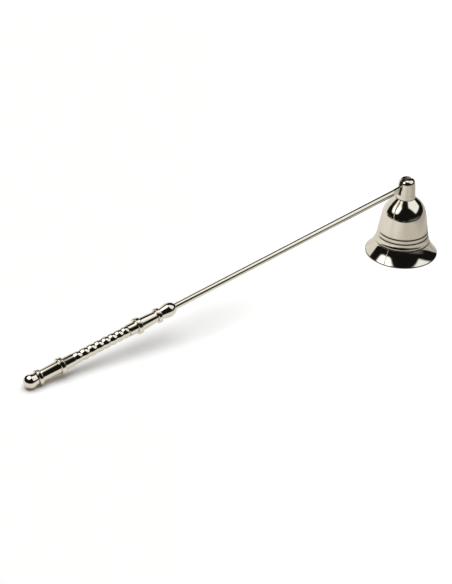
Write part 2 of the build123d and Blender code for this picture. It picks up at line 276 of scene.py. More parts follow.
def lofted(grid, lathe, soil_and_shade=None):
    """Skin over rows of closed sections, with a fan from the middle of the first and the last to close it."""
    rows, columns = grid.shape[:2]
    count = rows * columns
    points = np.vstack([grid.reshape(-1, 3), grid[0].mean(0), grid[-1].mean(0)])
    faces = [
        sheet_faces(rows, columns, False),
        fan_faces(count, np.arange(columns))[:, ::-1],
        fan_faces(count + 1, count - columns + np.arange(columns)),
    ]
    lathe = np.vstack([lathe.reshape(-1, 3), lathe[0].mean(0), lathe[-1].mean(0)])
    soil_and_shade = np.zeros(count) if soil_and_shade is None else soil_and_shade.ravel()
    return points, faces, lathe, np.zeros(len(points)), np.append(soil_and_shade, [0, 0])


def split_ear(radii, heights, half_gap, edge, side, turning, fine=20):
    """One half of a turned end that a slot parts: at each height the section is the part of a circle beyond the
    slot's wall, with its two corners rounded by arcs that touch the wall and the circle. Painted shade fills the
    lowest part of the wall and thins out upwards."""
    origin, axis, across, along = turning
    reach = np.sqrt(np.maximum((radii - edge) ** 2 - (half_gap + edge) ** 2, 0))
    meet = np.arctan2(half_gap + edge, reach)
    first = -np.pi / 2 + (meet[:, None] + np.pi / 2) * np.linspace(0, 1, fine)
    second = np.pi - first[:, ::-1]
    round_out = meet[:, None] + (np.pi - 2 * meet[:, None]) * np.linspace(0, 1, 6 * fine)
    x = np.hstack([
        reach[:, None] + edge * np.cos(first),
        radii[:, None] * np.cos(round_out),
        -reach[:, None] + edge * np.cos(second),
    ])
    y = np.hstack([
        half_gap + edge + edge * np.sin(first),
        radii[:, None] * np.sin(round_out),
        half_gap + edge + edge * np.sin(second),
    ])
    grid = origin + heights[:, None, None] * axis + x[..., None] * across + side * y[..., None] * along
    turn = np.arctan2(y, x)
    lathe = np.stack(np.broadcast_arrays(np.cos(turn), side * np.sin(turn), heights[:, None]), -1)
    # Painted shade in the slot: full at the foot of the wall, thinning upwards
    rise = (heights - heights.min()) / np.ptp(heights)
    filled = np.interp(rise, [full_shade_rise, thin_shade_rise], [1.0, thin_shade])[:, None]
    return lofted(grid, lathe, filled * np.clip(1 - (y - half_gap) / edge, 0, 1))


# Finishes


def new_group(name, inputs, outputs):
    """Empty shader node group with named sockets: (name, kind, default) for inputs, (name, kind) for outputs."""
    group = bpy.data.node_groups.new(name, "ShaderNodeTree")
    for label, kind, value in inputs:
        socket = group.interface.new_socket(label, in_out="INPUT", socket_type=kind)
        if value is not None:
            socket.default_value = value
    for label, kind in outputs:
        group.interface.new_socket(label, in_out="OUTPUT", socket_type=kind)
    return group, group.nodes.new("NodeGroupInput").outputs, group.nodes.new("NodeGroupOutput").inputs


def fill_sockets(tree, node, values):
    """Inputs of a node linked or set, by name or number."""
    for key, value in values.items():
        if isinstance(value, bpy.types.NodeSocket):
            tree.links.new(value, node.inputs[key])
        else:
            node.inputs[key].default_value = value


def add(tree, kind, values=None, **settings):
    """Node with its settings and its inputs."""
    node = tree.nodes.new("ShaderNode" + kind)
    for key, value in settings.items():
        setattr(node, key, value)
    fill_sockets(tree, node, values or {})
    return node


def group_node(tree, group, **values):
    """Outputs of a group's node, with its inputs by name; underscores stand for spaces."""
    node = add(tree, "Group", node_tree=group)
    fill_sockets(tree, node, {key.replace("_", " "): value for key, value in values.items()})
    return node.outputs


def sums(tree, operation, a, b, c=None):
    """Result of a Math node."""
    values = {0: a, 1: b} if c is None else {0: a, 1: b, 2: c}
    return add(tree, "Math", values, operation=operation).outputs[0]


def ramp(tree, value, low, high, start=0.0, end=1.0, **settings):
    """Value that goes from start to end while the given one goes from low to high, and stays level beyond."""
    return add(tree, "MapRange", {0: value, 1: low, 2: high, 3: start, 4: end}, **settings).outputs[0]


def mix(tree, share, first, second, **settings):
    """Colour that goes from the first to the second as the share goes from 0 to 1."""
    return add(tree, "MixRGB", {0: share, 1: first, 2: second}, **settings).outputs[0]


def noise(tree, place, scale, detail, roughness=0.5):
    """Colour noise on a place; its first output is the value alone."""
    values = {"Vector": place, "Scale": scale, "Detail": detail, "Roughness": roughness}
    return add(tree, "TexNoise", values).outputs


# Rings that a tool leaves on turned metal: noise stretched round the axis, close along the profile
turning_lines, given, out = new_group(
    "turning_lines",
    [("Lathe", "NodeSocketVector", None), ("Lines per mm", "NodeSocketFloat", 6.0),
     ("Round", "NodeSocketFloat", 0.6)],
    [("Height", "NodeSocketFloat"), ("Streak", "NodeSocketFloat")],
)
parts = add(turning_lines, "SeparateXYZ", {0: given["Lathe"]}).outputs
stretched = add(turning_lines, "CombineXYZ", {
    0: sums(turning_lines, "MULTIPLY", parts[0], given["Round"]),
    1: sums(turning_lines, "MULTIPLY", parts[1], given["Round"]),
    2: sums(turning_lines, "MULTIPLY", parts[2], given["Lines per mm"]),
}).outputs[0]
turning_lines.links.new(noise(turning_lines, stretched, 1.0, 3.0, 0.6)[0], out["Height"])
turning_lines.links.new(noise(turning_lines, stretched, 0.22, 2.0)[0], out["Streak"])

# Hairline scratches and finger smudges from handling
handling, given, out = new_group(
    "handling",
    [("Place", "NodeSocketVector", None), ("Scratch scale", "NodeSocketFloat", 420.0)],
    [("Scratch", "NodeSocketFloat"), ("Smudge", "NodeSocketFloat")],
)
bent = noise(handling, given["Place"], 60.0, 2.0)
moved = mix(handling, 0.012, given["Place"], bent["Color"], blend_type="LINEAR_LIGHT")
hair = add(handling, "TexVoronoi", {"Vector": moved, "Scale": given["Scratch scale"]}, feature="DISTANCE_TO_EDGE")
thin = ramp(handling, hair.outputs["Distance"], 0.0, 0.035, 1.0, 0.0)
some = ramp(handling, noise(handling, given["Place"], 140.0, 2.0)[0], 0.56, 0.70)
handling.links.new(sums(handling, "MULTIPLY", thin, some), out["Scratch"])
smudge = noise(handling, given["Place"], 75.0, 5.0, 0.62)
handling.links.new(ramp(handling, smudge[0], 0.48, 0.78), out["Smudge"])

# Tone of the plate: slow warm and cool drift, paler where edges are rubbed, dark brown where soil is left and where
# shade is painted
plate_tone, given, out = new_group(
    "plate_tone",
    [("Place", "NodeSocketVector", None), ("Rub", "NodeSocketFloat", 0.0), ("Soil", "NodeSocketFloat", 0.0),
     ("Warm", "NodeSocketColor", None), ("Cool", "NodeSocketColor", None), ("Rubbed", "NodeSocketColor", None),
     ("Brown", "NodeSocketColor", None)],
    [("Color", "NodeSocketColor")],
)
drift = noise(plate_tone, given["Place"], 38.0, 3.0)
drifting = mix(plate_tone, ramp(plate_tone, drift[0], 0.3, 0.7), given["Warm"], given["Cool"])
rubbed = mix(plate_tone, sums(plate_tone, "MULTIPLY", given["Rub"], 0.6), drifting, given["Rubbed"])
plate_tone.links.new(mix(plate_tone, given["Soil"], rubbed, given["Brown"]), out["Color"])

# Casting pits that polishing has not reached
pitting, given, out = new_group(
    "pitting",
    [("Place", "NodeSocketVector", None), ("Pits per m", "NodeSocketFloat", 620.0),
     ("Share", "NodeSocketFloat", 0.30)],
    [("Pit", "NodeSocketFloat")],
)
cells = add(pitting, "TexVoronoi", {"Vector": given["Place"], "Scale": given["Pits per m"]}).outputs
hole = ramp(pitting, cells["Distance"], 0.06, 0.22, 1.0, 0.0)
chosen = add(pitting, "SeparateColor", {0: cells["Color"]}).outputs[0]
pitted = sums(pitting, "MULTIPLY", hole, sums(pitting, "LESS_THAN", chosen, given["Share"]))
pitting.links.new(pitted, out["Pit"])

# Tones of the plate, and what its marks add to roughness and to height
warm_plate, cool_plate = (0.66, 0.605, 0.505, 1), (0.66, 0.615, 0.525, 1)
# The dark brown stands both for soil and for painted shade in slots, creases and under the rib, and adds roughness
# where it lies
rubbed_plate, soil_and_shade_brown = (0.74, 0.70, 0.63, 1), (0.02, 0.016, 0.011, 1)
scratch_rough, soil_and_shade_rough, pit_rough = 0.10, 0.35, 0.25
scratch_height, pit_height = -0.6, -6.0


def nickel(name, polish=0.045, lines=6.0, round_scale=0.6, line_depth=0.004, pits=0.0, dull=0.05):
    """Bright nickel plate: metal whose tone, roughness and normal follow the groups above."""
    finish = bpy.data.materials.new(name)
    finish.use_nodes = True
    tree = finish.node_tree
    metal = tree.nodes["Principled BSDF"]
    metal.inputs["Metallic"].default_value = 1.0
    place = add(tree, "TexCoord").outputs["Object"]
    lathe = add(tree, "Attribute", attribute_name="lathe").outputs["Vector"]
    rub = add(tree, "Attribute", attribute_name="rub").outputs["Fac"]
    soil_and_shade = add(tree, "Attribute", attribute_name="soil_and_shade").outputs["Fac"]
    tone = group_node(tree, plate_tone, Place=place, Rub=rub, Soil=soil_and_shade, Warm=warm_plate, Cool=cool_plate,
                      Rubbed=rubbed_plate, Brown=soil_and_shade_brown)
    marks = group_node(tree, handling, Place=place)
    rings = group_node(tree, turning_lines, Lathe=lathe, Lines_per_mm=lines, Round=round_scale)
    rough = sums(tree, "MULTIPLY_ADD", marks["Smudge"], dull, polish)
    rough = sums(tree, "MULTIPLY_ADD", marks["Scratch"], scratch_rough, rough)
    rough = sums(tree, "MULTIPLY_ADD", rings["Streak"], dull * 0.5, rough)
    rough = sums(tree, "MULTIPLY_ADD", soil_and_shade, soil_and_shade_rough, rough)
    height = sums(tree, "MULTIPLY_ADD", marks["Scratch"], scratch_height, rings["Height"])
    if pits:
        pit = group_node(tree, pitting, Place=place, Share=pits)["Pit"]
        height = sums(tree, "MULTIPLY_ADD", pit, pit_height, height)
        rough = sums(tree, "MULTIPLY_ADD", pit, pit_rough, rough)
    bump = add(tree, "Bump", {"Strength": 1.0, "Distance": line_depth * millimetre, "Height": height})
    tree.links.new(tone["Color"], metal.inputs["Base Color"])
    tree.links.new(rough, metal.inputs["Roughness"])
    tree.links.new(bump.outputs[0], metal.inputs["Normal"])
    return finish


bell_polish = nickel("bell_polish", polish=0.04, lines=5.0, line_depth=0.0016)
bell_inside = nickel("bell_inside", polish=0.20, lines=4.0, line_depth=0.02, dull=0.12)
neck_polish = nickel("neck_polish", polish=0.07, lines=5.0, line_depth=0.003, pits=0.25, dull=0.08)
rod_polish = nickel("rod_polish", polish=0.05, lines=0.15, round_scale=14.0, line_depth=0.0015)
eye_polish = nickel("eye_polish", polish=0.34)
handle_polish = nickel("handle_polish", polish=0.045, lines=5.0, line_depth=0.0015)
rivet_polish = nickel("rivet_polish", polish=0.09, lines=8.0, line_depth=0.003)
screw_plate = nickel("screw_plate", polish=0.16, lines=7.0, line_depth=0.01, dull=0.12)


# Bell


def shoulder_points(inset):
    """Seat, both ends of the shoulder curve and foot, moved inwards by the inset, from where the lines of the crown
    and the body cross."""
    foot_height = flare_height + rib_height + cove_height
    foot_radius = body_radius - inset / np.cos(body_taper)
    crown_height = neck_base - inset / np.cos(crown_slope)
    rise = crown_height + np.tan(crown_slope) * neck_base_radius - foot_height
    corner_radius = (foot_radius - np.tan(body_taper) * rise) / (1 - np.tan(body_taper) * np.tan(crown_slope))
    corner = np.array([corner_radius, crown_height - np.tan(crown_slope) * (corner_radius - neck_base_radius)])
    run = (shoulder_radius - inset) * np.tan((np.pi / 2 - crown_slope - body_taper) / 2)
    return (
        np.array([neck_base_radius - inset * np.tan(crown_slope / 2), neck_base - inset]),
        corner + run * np.array([-np.cos(crown_slope), np.sin(crown_slope)]),
        corner + run * np.array([np.sin(body_taper), -np.cos(body_taper)]),
        np.array([foot_radius, foot_height]),
    )


crown_way = np.array([np.cos(crown_slope), -np.sin(crown_slope)])
body_way = np.array([np.sin(body_taper), -np.cos(body_taper)])
body_out = np.array([np.cos(body_taper), np.sin(body_taper)])
seat, shoulder_top, shoulder_base, foot = shoulder_points(0)
inner_seat, inner_top, inner_base, inner_foot = shoulder_points(bell_wall)
rib_top = flare_height + rib_height
cove_start = foot - body_way * ((rib_top + cove_reach - foot[1]) / np.cos(body_taper))
flare_top = np.array([flare_top_radius, rib_top - rib_edge])
lip_top = np.array([mouth_radius - lip_lean, lip_height])
lip_round = [(mouth_radius, lip_edge), (mouth_radius - 0.08, 0.12), (mouth_radius - 0.35, 0)]

# Scored rings, cut half as deep as they are wide
groove_rises = np.array([first_groove_rise + groove_spacing, first_groove_rise])
groove_middles = foot - body_way * (groove_rises / np.cos(body_taper))[:, None]
groove_half = groove_width / 2
grooves = np.stack([
    groove_middles - groove_half * body_way,
    groove_middles - groove_half * body_out,
    groove_middles + groove_half * body_way,
], 1).reshape(-1, 2)

# Inner curve of the flare, from the lip up to the inner line of the body, where it is nearest the flare's centre
flare_centre = arc_centre(flare_top, lip_top, flare_radius)
meeting = inner_foot - body_way * ((inner_foot - flare_centre) @ body_way)
inner_lip = np.array([flare_centre[0] - np.sqrt((flare_radius + bell_wall) ** 2 - flare_centre[1] ** 2), 0])
spigot_hole_radius = spigot_radius + seat_gap
bell_loop = np.vstack([
    seat, arc_along(shoulder_top, crown_way, shoulder_base, 60), grooves,
    arc_along(cove_start, body_way, (cove_radius, rib_top)), (cove_radius, rib_top - rib_edge),
    arc_of(flare_top, lip_top, flare_radius), lip_round,
    arc_along(meeting, body_way, inner_lip, 48)[::-1],
    arc_along(inner_base, -body_way, inner_top, 60), inner_seat,
    (spigot_hole_radius, inner_seat[1]), (spigot_hole_radius, neck_base),
])

# Dark bands on the bell: painted shade in the scored rings and under the rib, a dark band along the lip and soil
# round the neck; where each band lies, how wide and how full it is, and the side where the painted shade is strongest
ring_shade_width, under_rib_middle, under_rib_width = 0.47, flare_top + (0.13, -0.42), 0.5
# A dark band round the outside of the lip, just above its foot
lip_band_height, lip_band_width, lip_band_reach = 0.65 * lip_height, 0.3, 0.3
neck_soil_width, neck_soil_share, neck_soil_drop = 0.2, 0.6, 0.6
shaded_side, unshaded_share, unshaded_from, shade_side_steepness = np.radians(-115.0), 0.05, 0.22, 16
nowhere_near = 9.0


def band(distance, width, power=4):
    """Soft band about a line: exp(-(distance / width) ** power)."""
    return np.exp(-((distance / width) ** power))


def bell_soil_and_shade(profile, angle):
    """Painted shade in the scored rings and under the rib, a dark band along the lip and soil round the neck, as soft
    bands. The painted shade in the rings and under the rib is faint away from its side: the share kept is a smooth
    step of the cosine of the angle from the shaded side."""
    rings = np.linalg.norm(profile[:, None] - groove_middles, axis=2).min(1)
    under_rib = np.linalg.norm(profile - under_rib_middle, axis=1)
    by_lip, by_neck = profile[:, 0] > lip_top[0] - lip_band_reach, profile[:, 1] > neck_base - neck_soil_drop
    lip = np.where(by_lip, np.abs(profile[:, 1] - lip_band_height), nowhere_near)
    neck = np.where(by_neck, np.abs(profile[:, 0] - neck_base_radius), nowhere_near)
    # Painted shade in the rings and under the rib: strongest on the side towards the camera, faint elsewhere
    toward_shaded_side = 1 / (1 + np.exp(-shade_side_steepness * (np.cos(angle - shaded_side) - unshaded_from)))
    painted_shade_share = unshaded_share + (1 - unshaded_share) * toward_shaded_side
    steady = np.maximum(band(lip, lip_band_width), neck_soil_share * band(neck, neck_soil_width))
    scored = np.maximum(band(rings, ring_shade_width, 8), band(under_rib, under_rib_width))
    return np.maximum(scored[:, None] * painted_shade_share, steady[:, None])


bell = piece("bell_skin", "bell_cup", "bell", bell_polish, [
    turned(bell_loop, bell_turning, rows=400, turns=240, edge=0.055, soil_and_shade_map=bell_soil_and_shade),
])
# Inside of the bell: faces above the lip's edge that look at the axis or down
downward = -0.3
spoke, facing = face_vectors(bell, "center") - [bell_x * millimetre, 0, 0], face_vectors(bell, "normal")
inward, under = (spoke[:, :2] * facing[:, :2]).sum(1) < 0, facing[:, 2] < downward
add_finish(bell, bell_inside, (inward | under) & (spoke[:, 2] > lip_edge * millimetre))

# Neck: a post, and the two ears that its slot leaves
spigot_end = inner_seat[1] + seat_gap
post_slope = (neck_top_radius - neck_base_radius) / (neck_top - neck_base - neck_chamfer)
slot_radius = neck_base_radius + post_slope * (slot_base - neck_base - neck_chamfer)
post_core_base = slot_base - post_core_drop
post_loop = np.array([
    (screw_radius, spigot_end), (spigot_radius, spigot_end), (spigot_radius, neck_base),
    (neck_base_radius - neck_chamfer, neck_base), (neck_base_radius, neck_base + neck_chamfer),
    (slot_radius, slot_base), (post_core_radius, slot_base), (post_core_radius, post_core_base),
    (screw_radius, post_core_base),
])
# Side of the ears, the rounding that touches it and the dome, and the dome, up to the slot
dome_radius = (neck_top_radius**2 + neck_dome**2) / (2 * neck_dome)
dome_top = np.array([0, neck_top + neck_dome])
dome_centre = dome_top - [0, dome_radius]
ear_foot = np.array([slot_radius, slot_base])
ear_way = unit([post_slope, 1])
inset_foot = ear_foot + ear_rounding * np.array([-ear_way[1], ear_way[0]]) - dome_centre
climb = -inset_foot @ ear_way + np.sqrt(
    (inset_foot @ ear_way) ** 2 - inset_foot @ inset_foot + (dome_radius - ear_rounding) ** 2
)
round_start = ear_foot + climb * ear_way
round_end = dome_centre + dome_radius * unit(inset_foot + climb * ear_way)
ear_line = np.vstack([
    np.linspace(ear_foot, round_start, 200)[:-1], arc_along(round_start, ear_way, round_end, 300)[:-1],
    arc_of(round_end, dome_top, dome_radius, 300),
])
ear_rows = gather(ear_line[ear_line[:, 0] > slot_half_width + 1.2 * ear_edge], 90, False)[0]
# Roots of the ears, sunk a little into the post
ear_root = [(slot_radius - 0.05, slot_base - 0.4), (slot_radius - 0.05, slot_base - 0.02)]
ear_rows = np.vstack([ear_root, ear_rows])
piece("neck_post", "bell_neck", "bell", neck_polish, [
    turned(post_loop, bell_turning, rows=70, turns=192, edge=0.05),
    split_ear(*ear_rows.T, slot_half_width, ear_edge, 1, bell_turning),
    split_ear(*ear_rows.T, slot_half_width, ear_edge, -1, bell_turning),
])

# Washer and slotted screw inside the bell
washer_base = inner_seat[1] - washer_thickness
washer_loop = np.array([
    (screw_radius, washer_base), (washer_radius, washer_base),
    (washer_radius, inner_seat[1]), (screw_radius, inner_seat[1]),
])
piece("crown_washer", "neck_washer", "bell", screw_plate, [
    turned(washer_loop, bell_turning, rows=48, turns=96, edge=0.07),
])
head_base = washer_base - screw_head_height
slot_floor, screw_tip = head_base + screw_slot_depth, spigot_end + screw_reach
screw_loop = np.array([
    (0, slot_floor), (screw_head_radius, slot_floor), (screw_head_radius, washer_base),
    (screw_radius, washer_base), (screw_radius, screw_tip), (0, screw_tip),
])
# Halves of the slotted head: straight, then nearly a quarter of an ellipse
below = np.linspace(0, 1, 24)
head_height = head_base + screw_slot_depth * (1 - below)
head_curve = np.clip((below - head_straight) / (1 - head_straight), 0, 1)
head_radius = screw_head_radius - head_rounding * (1 - np.sqrt(1 - head_bend * head_curve**2))
piece("crown_screw", "neck_screw", "bell", screw_plate, [
    turned(screw_loop, bell_turning, rows=60, turns=96, edge=screw_edge, poles=True),
    split_ear(head_radius, head_height, screw_slot_half_width, screw_edge, 1, bell_turning, fine=10),
    split_ear(head_radius, head_height, screw_slot_half_width, screw_edge, -1, bell_turning, fine=10),
])

# Hinge pin, its riveted ends a hair proud of the round of the ears
pin_columns = 64
pin_share = np.concatenate([[0.02], np.linspace(0.1, 1, 14)])[:, None]
pin_turn = np.arange(pin_columns) * 2 * np.pi / pin_columns
pin_x, pin_z = pin_radius * pin_share * np.cos(pin_turn), pin_radius * pin_share * np.sin(pin_turn)
ear_round = neck_base_radius + post_slope * (pivot_height + pin_z - neck_base - neck_chamfer)
pin_end = np.sqrt(ear_round**2 - pin_x**2) + rivet_dome * (1 - pin_share**4) - rivet_sink
pin_bar = np.full(pin_columns, pin_bar_half)
pin_rows = np.concatenate([-pin_end, [-pin_bar, pin_bar], pin_end[::-1]])
pin_grid = np.stack([
    bell_x + np.concatenate([pin_x, pin_x[[-1, -1]], pin_x[::-1]]),
    pin_rows,
    pivot_height + np.concatenate([pin_z, pin_z[[-1, -1]], pin_z[::-1]]),
], -1)
pin_lathe = np.stack(np.broadcast_arrays(np.cos(pin_turn), np.sin(pin_turn), pin_rows), -1)
piece("hinge_rivet", "hinge_pin", "bell", rivet_polish, [lofted(pin_grid, pin_lathe)])

# Rod: each section has two flats and two crowned edges, and is a circle where the flats are as far apart as the
# bar is thick. The columns of the grid go over the upper edge and back under the lower one.
edge_columns = 49
eye_turn = np.linspace(0.06, np.pi / 2, 22)
rod_place = np.concatenate([
    -eye_radius * np.cos(eye_turn), np.linspace(0.5, flat_length - crown_runout, 12),
    np.linspace(flat_length - 0.8, flat_length, 5), np.linspace(flat_length, flat_length + flat_runout, 14)[1:],
    np.linspace(20, handle_start + socket_depth, 24),
])
half_flat = np.interp(rod_place, [flat_length, flat_length + flat_runout], [eye_half_thickness, rod_radius * 0.9999])
crest = np.where(rod_place < 0, np.sqrt(np.maximum(eye_radius**2 - rod_place**2, 0)),
                 np.interp(rod_place, [0, flat_length], [eye_radius, rod_radius]))[:, None]
crown = np.interp(rod_place, [flat_length - crown_runout, flat_length], [crown_radius, rod_radius])
sweep = np.arcsin(half_flat / crown)[:, None] * np.linspace(1, -1, edge_columns)
upper_y = crown[:, None] * np.sin(sweep)
most_sag = np.where(rod_place < 0, 0.5, 1)[:, None] * crest
upper_z = crest - np.minimum(crown[:, None] * (1 - np.cos(sweep)), most_sag)
section_y, section_z = np.hstack([upper_y, upper_y[:, ::-1]]), np.hstack([upper_z, -upper_z[:, ::-1]])
origin, axis, side, other = rod_turning
rod_grid = origin + rod_place[:, None, None] * axis + section_y[..., None] * side - section_z[..., None] * other
rod_lathe = np.stack(np.broadcast_arrays(section_y / rod_radius, section_z / rod_radius, rod_place[:, None]), -1)

# Painted shade on the flats in the slot and just outside it: it reaches further out below, and the eye stays free of
# it above
shade_fade, lower_shade_end, upper_shade_end, unshaded_eye = 0.5, slot_radius + 1.8, slot_radius + 0.3, 2.5
lower_shade = np.clip((lower_shade_end - rod_place) / shade_fade, 0, 1)
upper_shade = np.clip((upper_shade_end - rod_place) / shade_fade, 0, 1) * np.clip(rod_place / unshaded_eye, 0, 1)
rod_shade = np.zeros(section_y.shape)
rod_shade[:, [0, edge_columns - 1]] = upper_shade[:, None]
rod_shade[:, [edge_columns, 2 * edge_columns - 1]] = lower_shade[:, None]

tang_start, tang_end = handle_start + tang_inset, knob_start + knob_bore_depth - tang_end_gap
tang_loop = np.array([(0, tang_start), (tang_radius, tang_start), (tang_radius, tang_end), (0, tang_end)])
rod = piece("long_rod", "snuffer_rod", "handle", rod_polish, [
    lofted(rod_grid, rod_lathe, rod_shade),
    turned(tang_loop, rod_turning, rows=24, turns=48, edge=0.05, poles=True),
])
from_pivot = np.linalg.norm(face_vectors(rod, "center") / millimetre - (bell_x, 0, pivot_height), axis=1)
add_finish(rod, eye_polish, from_pivot < eye_radius + eye_margin)


# Handle


def handle_piece(name, node, loop, rows, edge=0.11, poles=False):
    """A turned piece of the handle, with its bore on the tang."""
    if not poles:
        loop = np.vstack([loop, (bore_radius, loop[-1][1]), (bore_radius, loop[0][1])])
    piece(name, node, "handle", handle_polish,
          [turned(loop, rod_turning, rows, 160, edge, poles)])


def collar(name, node, start, width, radius):
    """A collar whose two edges are broken."""
    end = start + width
    handle_piece(name, node, [(radius - collar_chamfer, start), (radius, start + collar_chamfer),
                              (radius, end - collar_chamfer), (radius - collar_chamfer, end)], rows=72)


def ferrule(name, node, start, length, radii):
    """A sleeve that tapers from one radius to another."""
    handle_piece(name, node, [(radii[0], start), (radii[1], start + length)], rows=60, edge=0.06)


bud_nose = arc_along((bud_radius, bud_widest), (0, -1), (bud_front_radius, handle_start), 40)[::-1]
handle_piece("rod_bud", "nose_bud", np.vstack([bud_nose, (bud_rear_radius, bud_end)]), rows=110)
collar("bud_collar", "front_collar", bud_end, end_collar_width, end_collar_radius)
ferrule("fore_ferrule", "front_ferrule", front_ferrule_start, front_ferrule_length, front_ferrule_radii)
collar("grip_fore_collar", "grip_front_collar", grip_front_collar_start, grip_collar_width, grip_collar_radius)

# Grip: each bead is an arc over its length that rises from the grooves to the beads' radius
bead_edges = bead_start + np.concatenate([[0], np.cumsum(bead_lengths)])
bead_share = np.linspace(0, 1, 25)
bead_rise = bead_radius - bead_groove_radius
bead_curve = (bead_lengths**2 / 4 + bead_rise**2) / (2 * bead_rise)
bead_half = (bead_share - 0.5)[None] * bead_lengths[:, None]
bead_height = np.sqrt(bead_curve[:, None] ** 2 - bead_half**2) - bead_curve[:, None] + bead_radius
bead_run = np.stack([bead_height, bead_edges[:-1, None] + bead_share * bead_lengths[:, None]], -1).reshape(-1, 2)
handle_piece("beaded_grip", "grip_barrel", np.vstack([
    (grip_radius, grip_start), (grip_radius, bead_start), bead_run, (grip_radius, bead_end), (grip_radius, grip_end),
]), rows=420, edge=0.05)

collar("grip_aft_collar", "grip_rear_collar", grip_end, grip_collar_width, grip_collar_radius)
ferrule("aft_ferrule", "rear_ferrule", rear_ferrule_start, rear_ferrule_length, rear_ferrule_radii)
collar("knob_collar", "rear_collar", rear_collar_start, end_collar_width, end_collar_radius)
knob_nose = arc_along((knob_radius, knob_reach), (0, 1), (0, knob_reach + knob_radius), 60)
knob_bore_end = knob_start + knob_bore_depth
handle_piece("end_knob_skin", "end_knob", np.vstack([
    (0, knob_bore_end), (bore_radius, knob_bore_end), (bore_radius, knob_start), (knob_neck_radius, knob_start),
    knob_nose,
]), rows=150, edge=0.12, poles=True)


# Studio, laid out in the view's own directions: right, away and up from the middle of the bell's mouth

view_turn = np.radians(37.51)
camera_pitch, camera_roll, camera_reach = np.radians(31.73), np.radians(2.02), 1254.3
camera_right, camera_up = 115.4, 27.45
focal_pixels, picture_height, sensor_width, camera_far = 1900, 584, 36, 50
floor_half, lamp_reach = 9000, 1600


def from_view(points):
    """Points given as right, away and up in the view, in mm, turned into the snuffer's frame, in metres."""
    x, y, z = np.moveaxis(np.asarray(points, float), -1, 0)
    c, s = np.cos(view_turn), np.sin(view_turn)
    return np.stack([c * x + s * y + bell_x, -s * x + c * y, z], -1) * millimetre


view_middle = from_view((0, 0, 0))


def aim(right, up, back, place):
    """Matrix of a lamp or camera from its three axes in the view and its place."""
    rows = np.eye(4)
    rows[:3, :3] = np.stack([unit(from_view(v) - view_middle) for v in (right, up, back)], 1)
    rows[:3, 3] = from_view(place)
    return Matrix(rows.tolist())


def glow_material(name, colour, strength):
    """Light of one colour, whose strength follows the surface's own glow."""
    finish = bpy.data.materials.new(name)
    finish.use_nodes = True
    tree = finish.node_tree
    tree.nodes.remove(tree.nodes["Principled BSDF"])
    glow = add(tree, "Attribute", attribute_name="glow").outputs["Fac"]
    light = add(tree, "Emission", {"Color": (*colour, 1), "Strength": sums(tree, "MULTIPLY", glow, strength)})
    tree.links.new(light.outputs[0], tree.nodes["Material Output"].inputs[0])
    return finish


def card(name, points, faces, glow, colour, strength):
    """Studio card that only shows in the polished metal: points in the view, faces, and each point's share of the
    light."""
    mesh = bpy.data.meshes.new(name)
    mesh.from_pydata(from_view(points).tolist(), [], faces)
    mesh.attributes.new("glow", "FLOAT", "POINT").data.foreach_set("value", np.asarray(glow, np.float32))
    mesh.materials.append(glow_material(name, colour, strength))
    made = bpy.data.objects.new(name, mesh)
    bpy.context.scene.collection.objects.link(made)
    made.visible_camera = made.visible_diffuse = made.visible_shadow = False


def softbox(name, centre, target, halves, roll, power, strength, core=0.85, shift=(0, 0), colour=(1, 1, 1)):
    """Card that faces a target, with the outline |u| ** power + |v| ** power = 1 in shares of its half sizes. Its
    light is even over a core of the same outline, moved by the shift, and falls to nothing at the rim, which lies
    as far outside that outline as the core lies inside."""
    back = unit(np.subtract(centre, target))
    level = unit(np.cross([0, 0, 1.0], back))
    tall = np.cross(back, level)
    across, along = np.cos(roll) * level + np.sin(roll) * tall, np.cos(roll) * tall - np.sin(roll) * level
    count = 96
    turn = np.arange(count) * 2 * np.pi / count
    u = np.sign(np.cos(turn)) * np.abs(np.cos(turn)) ** (2 / power)
    v = np.sign(np.sin(turn)) * np.abs(np.sin(turn)) ** (2 / power)
    rim = 2 - core
    u, v = (np.concatenate([rim * w, core * w + s, [s]]) * h for w, s, h in zip((u, v), shift, halves))
    points = centre + u[:, None] * across + v[:, None] * along
    faces = [*sheet_faces(2, count, False).tolist(), *fan_faces(2 * count, count + np.arange(count)).tolist()]
    card(name, points, faces, np.arange(len(points)) >= count, colour, strength)


def four_sided_card(name, corners):
    """Plain white card given by its four corners."""
    card(name, corners, [(0, 1, 2, 3)], np.ones(4), (1, 1, 1), 1.0)


def dark_sheet(name, corners):
    """Where the white paper ends, as the metal shows it: a dark sheet that lies just above the floor."""
    count = len(corners)
    card(name, [(*c, 0.4) for c in corners], [tuple(range(count))], np.ones(count), (0.5, 0.48, 0.45), 0.02)


# Floor of white paper
floor_mesh = bpy.data.meshes.new("floor")
floor_corners = floor_half * np.array([(-1, -1, 0), (1, -1, 0), (1, 1, 0), (-1, 1, 0)])
floor_mesh.from_pydata(from_view(floor_corners).tolist(), [], [(0, 1, 2, 3)])
floor = bpy.data.objects.new("floor", floor_mesh)
bpy.context.scene.collection.objects.link(floor)
paper = bpy.data.materials.new("white_paper")
paper.use_nodes = True
paper_tree = paper.node_tree
paper_shader = paper_tree.nodes["Principled BSDF"]
paper_path = add(paper_tree, "LightPath").outputs
paper_place = add(paper_tree, "TexCoord").outputs["Object"]


def paper_step(slant, start, end, low=0.0, high=1.0):
    """Smooth step over the paper from low to high, between two distances from the bell's axis, in metres, along a
    direction in the floor that slants from the view's right to its back by some degrees."""
    way = unit(from_view((np.cos(np.radians(slant)), np.sin(np.radians(slant)), 0)) - view_middle)
    along = add(paper_tree, "VectorMath", {0: paper_place, 1: tuple(way)}, operation="DOT_PRODUCT").outputs["Value"]
    middle = float(view_middle @ way)
    return ramp(paper_tree, along, middle + start, middle + end, low, high, interpolation_type="SMOOTHSTEP")
